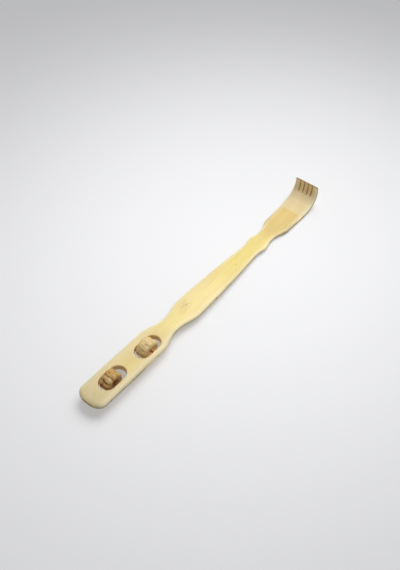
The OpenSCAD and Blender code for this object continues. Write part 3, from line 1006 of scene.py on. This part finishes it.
class Bamboo(Finish):
    """Sanded bamboo: long fibres, slow bands, a node mark, and brown cut walls and end grain."""

    # Scale along, across and up, detail, roughness and offset of each noise
    NOISES = {
        "fibre": ((22, 1500, 1500), 4.0, 0.6),
        "streak": ((7, 330, 330), 3.0, 0.55, (3.1, 0, 0)),
        "cloud": ((16, 60, 60), 2.0, 0.5, (0, 7.7, 0)),
        "dash": ((130, 2600, 2600), 2.0, 0.5, (9.3, 0, 0)),
        "blotch": ((110, 190, 190), 2.0, 0.5, (5.2, 1.4, 0)),
        "fleck": ((170, 300, 300), 2.0, 0.5, (1.3, 0, 4.1)),
        "layer": ((35, 35, 520), 1.0, 0.5, (0, 0, 2.2)),
        "pore": ((900, 1900, 1900), 2.0, 0.5),
    }

    # Low and high end of a noise, and how dark and how light it makes the wood there
    TONES = {
        "fibre": (0.25, 0.75, 0.95, 1.04),
        "streak": (0.25, 0.75, 0.97, 1.025),
        "cloud": (0.3, 0.7, 0.96, 1.03),
    }

    # How much the line between waist and blade bows, times the square of the way across in metres
    BOW = 42.0

    # Shares of the colours of dashes, cut walls, end grain and the yellow spot, and how dark the shade
    # painted low on the sides makes the wood
    DASH = 0.22
    WALL = 0.85
    END = 0.7
    LOW_TONE = 0.5
    SPOT = 0.7

    def __init__(self, strip, colours):
        super().__init__("bamboo", **{"Specular IOR Level": 0.35, "Coat Weight": 0.06, "Coat Roughness": 0.3})
        self.strip, self.colours = strip, colours
        self.grain = self.attribute("grain", "Vector")
        self.along, self.across, self.height = self.add("SeparateXYZ", {0: self.grain}).outputs
        self.found = {name: self.noise(self.grain, *settings) for name, settings in self.NOISES.items()}

    def ground(self):
        """Colours of the zones along the strip, with yellow patches on the handle, and paler margins that are
        partly a painted sheen on the rounded edges.
        """
        z, colours, along = self.strip.sizes, self.colours, self.along
        bowed = self.plus(along, self.times(self.times(self.across, self.across), self.BOW))
        # Painted shade: the colour darkens towards the butt end over the first 60 mm
        colour = self.mix(self.band(along, 0.0, 60 * MM), colours.butt, colours.handle)
        bridge_at = (z.near_slot_at + z.far_slot_at) / 2
        for place in ((bridge_at / MM, -3, 4.8), (z.shoulder_at / MM + 20, 0, 4.5)):
            patch = self.spot(self.grain, place, (22, 14, 20))
            colour = self.mix(self.band(patch, 0.0, 0.7, 0.0, 0.75), colour, colours.patch)
        # The curl's paler colour in this table is painted light for the bend facing away from the lamp
        for place, start, begin, end, finish, name in (
                (along, z.shoulder_at, 3, z.waist_end, 0, "waist"),
                (bowed, z.blade_at, -17, z.blade_at, -7, "blade"),
                (along, z.blade_at, 29, z.blade_end, -22, "blade_end"),
                (along, z.collar_at, 3, z.neck_end, 10, "flat"),
                (along, z.crease_at, -1.2, z.crease_at, 1.2, "rake"),
                (along, z.crease_at, 14, self.strip.slit_at, -3, "curl"),
                (along, self.strip.slit_at, -4, self.strip.slit_at, 7, "finger")):
            zone = self.band(place, start + begin * MM, end + finish * MM)
            colour = self.mix(zone, colour, getattr(colours, name))
        # Paler margins: partly a painted sheen on the rounded edges, varied by clouds and stronger on the
        # fingers
        pale = self.times(self.attribute("margin"), self.band(self.found["cloud"], 0.2, 0.7, 0.35, 0.75))
        pale = self.times(pale, self.band(zone, 0.0, 1.0, 1.0, 1.3))
        return self.mix(pale, colour, colours.margin)

    def marked(self, colour):
        """A yellow spot, the faint mark of a node and three specks on the upper face."""
        colours, grain, streak = self.colours, self.grain, self.found["streak"]
        blade = self.strip.sizes.blade_at / MM
        spot = self.spot(grain, (blade - 11, 0.5, 3), (11, 7, 6))
        colour = self.mix(self.times(self.band(spot, 0.0, 0.8), self.SPOT), colour, colours.patch)
        top = self.band(self.height, 0.5 * MM, 1.5 * MM)
        mark = self.times(self.spot(grain, (blade, 6, 3), (14, 11, 6)), top)
        mark = self.times(mark, self.band(self.found["blotch"], 0.35, 0.65, 0.3, 1.2))
        mark = self.times(self.band(mark, 0.05, 0.8), self.band(streak, 0.3, 0.65, 0.2, 0.65))
        colour = self.mix(mark, colour, colours.mark)
        for place, reach, dark in (
                ((blade + 2, 4.8, 2.6), 1.9, 0.5),
                ((blade + 102, -2, 3), 1.4, 0.5),
                ((13.7, -0.5, 4.5), 2.6, 0.16)):
            speck = self.spot(grain, place, (2 * reach, reach, 3))
            colour = self.mix(self.times(self.band(speck, 0.1, 0.9), dark), colour, colours.speck)
        return colour

    def weathered(self, colour):
        """Fibres, streaks and clouds, fine dashes, and shade painted on the lower sides, with dark flecks
        only where that shade lies.
        """
        speck, found = self.colours.speck, self.found
        for name, limits in self.TONES.items():
            colour = self.tone(colour, self.band(found[name], *limits))
        colour = self.mix(self.times(self.band(found["dash"], 0.66, 0.78), self.DASH), colour, speck)
        # The low layer says where shade is painted on the lower sides
        low = self.attribute("low")
        fleck = self.times(self.band(found["fleck"], 0.56, 0.68, 0.0, 0.7), self.band(low, 0.1, 0.6))
        colour = self.tone(colour, self.band(low, 0.0, 1.0, 1.0, self.LOW_TONE))
        return self.mix(fleck, colour, speck)

    def finished(self):
        """The whole material, with layers on the cut walls and pores on the ends."""
        z, colours, found = self.strip.sizes, self.colours, self.found
        colour = self.weathered(self.marked(self.ground()))
        wall = self.attribute("wall")
        cut = self.mix(self.band(found["layer"], 0.45, 0.6, 0.0, 0.42), colours.cut, colours.pore)
        cut = self.mix(self.band(self.along, z.crease_at, self.strip.slit_at - MM), cut, colours.slit)
        colour = self.mix(self.times(wall, self.WALL), colour, cut)
        ends = self.mix(self.band(found["pore"], 0.5, 0.68), colours.end_grain, colours.pore)
        colour = self.mix(self.times(self.attribute("end"), self.END), colour, ends)
        rough = self.band(self.plus(found["fibre"], self.times(wall, 0.5)), 0.3, 1.0, 0.42, 0.75)
        relief = self.plus(found["fibre"], self.times(found["dash"], 0.5))
        return self.surface(colour, rough, relief, 0.25, 0.12)


def roller_finish(node, sizes, colours, tints):
    """Carved wood: fine grain along the axle, shade painted into the grooves, tinted knobs and brown end
    grain.
    """
    wood = Finish(f"{node}_wood", **{"Specular IOR Level": 0.3})
    grain = wood.attribute("grain", "Vector")
    fibre = wood.noise(grain, (1300, 90, 1300), 4.0, 0.6)
    cloud = wood.noise(grain, (240, 190, 240), 3.0, 0.55, (4.4, 1.7, 0))
    pores = wood.noise(grain, (900, 900, 900), 3.0, 0.6)
    colour = wood.tone(getattr(colours, node), wood.band(fibre, 0.25, 0.75, 0.86, 1.08))
    radius = sizes.diameter / 2 / MM
    for degrees, y, long, wide, amount, name in tints:
        patch = wood.spot(grain, (radius * math.radians(degrees % 360), y, radius), (long, wide, 6))
        colour = wood.mix(wood.band(patch, 0.0, 0.6, 0.0, amount), colour, getattr(colours, name))
    colour = wood.tone(colour, wood.band(cloud, 0.3, 0.7, 0.86, 1.07))
    # Painted shade: the groove colour darkens the wood where the carved layer is high
    deep = wood.plus(wood.attribute("carved"), wood.times(wood.math("SUBTRACT", cloud, 0.5), 0.5))
    colour = wood.mix(wood.band(deep, 0.2, 1.05, 0.0, 0.9), colour, colours.groove)
    # End grain of each roller; the far roller's is painted lighter to offset the shade on its side
    end = wood.mix(wood.band(pores, 0.5, 0.75), getattr(colours, node + "_side"), colours.groove)
    colour = wood.mix(wood.times(wood.attribute("side"), 0.9), colour, end)
    rough = wood.band(fibre, 0.2, 0.8, 0.55, 0.72)
    return wood.surface(colour, rough, wood.plus(fibre, wood.times(cloud, 1.5)), 0.35, 0.2)


def dowel_finish(colours):
    """Dark reddish dowel wood with streaks along its length, and a sanded end in the handle's side."""
    wood = Finish("dowel_wood", **{"Specular IOR Level": 0.3})
    place = wood.add("TexCoord").outputs["Object"]
    streak = wood.noise(place, (2400, 90, 2400), 4.0, 0.6)
    cloud = wood.noise(place, (400, 150, 400), 2.0, 0.5)
    colour = wood.mix(wood.band(streak, 0.4, 0.68), colours.dowel, colours.dowel_streak)
    colour = wood.tone(colour, wood.band(cloud, 0.3, 0.7, 0.85, 1.12))
    across = wood.add("SeparateXYZ", {0: place}).outputs["Y"]
    colour = wood.mix(wood.band(across, -20 * MM, -18.5 * MM, 1.0, 0.0), colour, colours.dowel_end)
    return wood.surface(colour, wood.band(streak, 0.2, 0.8, 0.5, 0.7), streak, 0.3, 0.15)


# Operators

class SCRATCHER_OT_strip(bpy.types.Operator):
    """Builds the bamboo strip: handle with slots, waist, blade, collar, neck and bent rake"""

    bl_idname = "scratcher.strip"
    bl_label = "Bamboo strip"
    SMOOTH_UP_TO = 38

    def execute(self, context):
        sizes, rollers = context.scene.scratcher_strip, context.scene.scratcher_rollers
        strip = Strip(sizes)
        obj = new_object("BambooStrip", *tube(strip.skin()))
        cutters = [new_object("slit", *strip.slit_cutter(middle)) for middle in strip.slits()]
        cutters += [new_object("slot", *strip.slot_cutter(at, shift)) for at, shift in strip.slots]
        for at, node in ((sizes.near_axle_at, "near_axle"), (strip.far_axle_at, "far_axle")):
            cutters.append(new_object("dowel_hole", *strip.dowel_cutter(at, node, rollers)))
        carve(obj, cutters)
        points = read_points(obj.data)
        own = strip.unbent(points)
        # The low layer holds where shade is painted on the lower sides
        put_attributes(
            obj.data, grain=own, wall=strip.wall_share(own), end=strip.end_share(own),
            margin=strip.margin_share(own), low=strip.low_share(own))
        write_points(obj.data, np.clip(to_row(points, sizes.near_axle_at), *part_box("body")))
        material = Bamboo(strip, context.scene.scratcher_colours).finished()
        finish_piece(obj, self.SMOOTH_UP_TO, material, "handle", "bamboo", "body")
        return {"FINISHED"}


class SCRATCHER_OT_rollers(bpy.types.Operator):
    """Builds both knobbed rollers on their axles"""

    bl_idname = "scratcher.rollers"
    bl_label = "Rollers"
    SMOOTH_UP_TO = 50

    # Carved dents: degrees from the top; across, reach round, reach across and depth in mm; darkness of the
    # shade painted into each
    NEAR_DENTS = (
        (5, 2.8, 2.0, 2.0, 0.2, 0.15), (-19, 4.6, 1.6, 2.8, 0.5, 0.5), (-16, -1.4, 1.5, 2.2, 0.5, 0.45),
        (-11, -5.9, 1.6, 1.8, 0.3, 0.35), (-43, 2.9, 2.2, 2.2, 0.9, 0.7), (-51, 0.7, 2.0, 2.0, 0.6, 0.6),
        (-54, -3.0, 1.4, 2.2, 0.5, 0.5), (-81, 3.1, 2.4, 2.0, 0.5, 1.1), (-81, -3.8, 2.0, 2.4, 0.3, 0.7),
        (35, -1.9, 2.2, 2.4, 0.8, 0.6), (85, 4.3, 2.4, 2.2, 0.7, 0.6), (130, -0.9, 2.2, 2.2, 0.8, 0.7),
        (172, 3.7, 2.0, 2.4, 0.7, 0.5), (214, -2.1, 2.4, 2.0, 0.9, 0.7), (19, -1.0, 2.2, 7.5, -1.0, -0.5))
    FAR_DENTS = (
        (-20, 6.3, 1.8, 1.8, 0.45, 0.35), (-19, -2.0, 1.8, 1.8, 0.45, 0.35), (-89, 4.8, 2.4, 2.4, 0.4, 0.8),
        (-87, -4.1, 2.4, 2.4, 0.3, 0.6), (-54, 5.1, 1.8, 1.8, 0.3, 0.2), (-56, -2.4, 1.6, 1.6, 0.3, 0.2),
        (18, 6.1, 1.6, 1.6, 0.3, 0.2), (14, -2.9, 1.6, 1.6, 0.3, 0.2), (62, 1.6, 2.0, 2.2, 0.5, 0.4),
        (108, -2.3, 2.0, 2.0, 0.6, 0.5), (150, 4.1, 2.2, 2.0, 0.5, 0.4), (205, -0.9, 2.0, 2.2, 0.6, 0.5),
        (-2, -4.1, 10.0, 0.9, 0.5, 0.3), (-33, 1.0, 1.1, 2.6, 0.35, 0.25), (-3, 3.6, 1.2, 1.6, 0.35, 0.2))

    # Tints: degrees from the top; across, reach round and reach across in mm; share and colour. The groove
    # tint on the near roller's top knob is shade painted into its dent.
    NEAR_TINTS = (
        (6, 1.6, 7.0, 8.0, 0.6, "orange"), (5, 2.8, 3.6, 3.6, 0.4, "groove"),
        (-33, -3.0, 6.0, 8.0, 0.6, "worn"))
    FAR_TINTS = ((22, -3.0, 6.0, 8.0, 0.15, "worn"),)

    # Name, axle, seed, relief, dents, tints, body and CAD node of each roller
    MAKES = (
        ("NearRoller", NEAR_AXLE, 4, 1.3, NEAR_DENTS, NEAR_TINTS, "near_wheel", "near_roller"),
        ("FarRoller", FAR_AXLE, 9, 0.75, FAR_DENTS, FAR_TINTS, "far_wheel", "far_roller"))

    def execute(self, context):
        sizes, colours = context.scene.scratcher_rollers, context.scene.scratcher_colours
        for name, axle, seed, relief, dents, tints, body, node in self.MAKES:
            points, grain, carved, side = Roller(sizes, seed, relief).skin(dents)
            flat, quads = torus(points)
            centre = axle + middle_across(node) * ACROSS
            obj = new_object(name, flat @ STRIP_AXES + centre, quads)
            put_attributes(obj.data, grain=grain, carved=carved, side=side)
            material = roller_finish(node, sizes, colours, tints)
            finish_piece(obj, self.SMOOTH_UP_TO, material, body, "roller_wood", node)
        return {"FINISHED"}


class SCRATCHER_OT_dowels(bpy.types.Operator):
    """Builds the two dowels that the rollers turn on"""

    bl_idname = "scratcher.dowels"
    bl_label = "Dowels"
    SMOOTH_UP_TO = 30

    # Name, axle, seed and CAD node of each dowel
    MAKES = (("NearDowel", NEAR_AXLE, 2, "near_axle"), ("FarDowel", FAR_AXLE, 5, "far_axle"))

    def execute(self, context):
        material = dowel_finish(context.scene.scratcher_colours)
        for name, axle, seed, node in self.MAKES:
            rings = dowel_skin(context.scene.scratcher_rollers, node, seed) @ STRIP_AXES
            obj = new_object(name, *tube(rings + axle))
            finish_piece(obj, self.SMOOTH_UP_TO, material, "handle", "dowel_wood", node)
        return {"FINISHED"}


class SCRATCHER_OT_stage(bpy.types.Operator):
    """Sets up the floor, the light and the camera"""

    bl_idname = "scratcher.stage"
    bl_label = "Stage"
    FILL_COLOUR = (0.96, 0.97, 1.0, 1.0)

    def execute(self, context):
        stage = context.scene.scratcher_stage
        self.floor(context.scene, stage)
        self.light(context.scene, stage)
        self.camera(context.scene, stage)
        context.scene.view_settings.view_transform = "Standard"
        return {"FINISHED"}

    def floor(self, scene, stage):
        """A plain pale floor just under the object, partly bright by itself where the camera sees it."""
        corners = np.array([(-1, -1, 0), (1, -1, 0), (1, 1, 0), (-1, 1, 0)]) * stage.floor_reach
        corners[:, 2] = CAD_BOX[0].z - stage.floor_gap
        mesh = bpy.data.meshes.new("Floor")
        mesh.from_pydata(corners, [], [(0, 1, 2, 3)])
        floor = bpy.data.objects.new("Floor", mesh)
        scene.collection.objects.link(floor)
        colour = (*stage.floor, 1.0)
        paint = Finish("floor", **{"Base Color": colour, "Roughness": 0.7, "Specular IOR Level": 0.2})
        glow = paint.add("Emission", {"Color": colour})
        part = paint.times(paint.seen_rays(), stage.floor_glow)
        both = paint.add("MixShader", {0: part, 1: paint.shader.outputs[0], 2: glow.outputs[0]})
        paint.tree.links.new(both.outputs[0], paint.output.inputs["Surface"])
        mesh.materials.append(paint.material)

    def light(self, scene, stage):
        """One large soft lamp high up behind the object, and even light from all around."""
        lamp = bpy.data.lights.new("Lamp", "AREA")
        lamp.shape = "DISK"
        lamp.size = stage.lamp_size
        lamp.energy = stage.lamp_power
        lamp.spread = stage.lamp_spread
        holder = bpy.data.objects.new("Lamp", lamp)
        scene.collection.objects.link(holder)
        holder.location = stage.lamp_at
        facing = Vector(stage.lamp_aim) - Vector(stage.lamp_at)
        holder.rotation_euler = facing.to_track_quat("-Z", "Y").to_euler()
        scene.world = bpy.data.worlds.new("Studio")
        scene.world.use_nodes = True
        nodes = Nodes(scene.world.node_tree)
        fill = nodes.add("Background", {"Color": self.FILL_COLOUR, "Strength": stage.fill})
        backdrop = nodes.add("Background", {"Color": (*stage.floor, 1.0)})
        blend = nodes.add("MixShader", {0: nodes.seen_rays(), 1: fill.outputs[0], 2: backdrop.outputs[0]})
        nodes.add("OutputWorld", {"Surface": blend.outputs[0]})

    def camera(self, scene, stage):
        """A camera on a sphere round its aim, level but for its roll."""
        turn, rise, roll = stage.azimuth, stage.elevation, stage.roll
        back = Vector((math.sin(turn) * math.cos(rise), -math.cos(turn) * math.cos(rise), math.sin(rise)))
        level = Vector((math.cos(turn), math.sin(turn), 0))
        upward = back.cross(level)
        right = level * math.cos(roll) + upward * math.sin(roll)
        up = back.cross(right)
        data = bpy.data.cameras.new("Camera")
        data.lens = stage.lens
        data.clip_start = stage.clip
        camera = bpy.data.objects.new("Camera", data)
        scene.collection.objects.link(camera)
        place = Vector(stage.aim) + back * stage.distance
        camera.matrix_world = Matrix.Translation(place) @ Matrix((right, up, back)).transposed().to_4x4()
        scene.camera = camera


class SCRATCHER_PT_panel(bpy.types.Panel):
    """Lists the steps that build the back scratcher"""

    bl_label = "Back scratcher"
    bl_idname = "SCRATCHER_PT_panel"
    bl_space_type = "VIEW_3D"
    bl_region_type = "UI"
    bl_category = "Scratcher"

    def draw(self, context):
        for operator in OPERATORS:
            self.layout.operator(operator.bl_idname)


GROUPS = {
    "scratcher_strip": StripSizes,
    "scratcher_rollers": RollerSizes,
    "scratcher_colours": WoodColours,
    "scratcher_stage": StageSettings,
}
OPERATORS = (SCRATCHER_OT_strip, SCRATCHER_OT_rollers, SCRATCHER_OT_dowels, SCRATCHER_OT_stage)
CLASSES = (*GROUPS.values(), *OPERATORS, SCRATCHER_PT_panel)


def register():
    """Registers the classes and hangs the property groups on the scene."""
    for cls in CLASSES:
        bpy.utils.register_class(cls)
    for name, group in GROUPS.items():
        setattr(bpy.types.Scene, name, bpy.props.PointerProperty(type=group))


def unregister():
    """Undoes register()."""
    for name in GROUPS:
        delattr(bpy.types.Scene, name)
    for cls in reversed(CLASSES):
        bpy.utils.unregister_class(cls)


def main():
    """Builds the whole scene."""
    register()
    bpy.ops.scratcher.strip()
    bpy.ops.scratcher.rollers()
    bpy.ops.scratcher.dowels()
    bpy.ops.scratcher.stage()


if __name__ == "__main__":
    main()
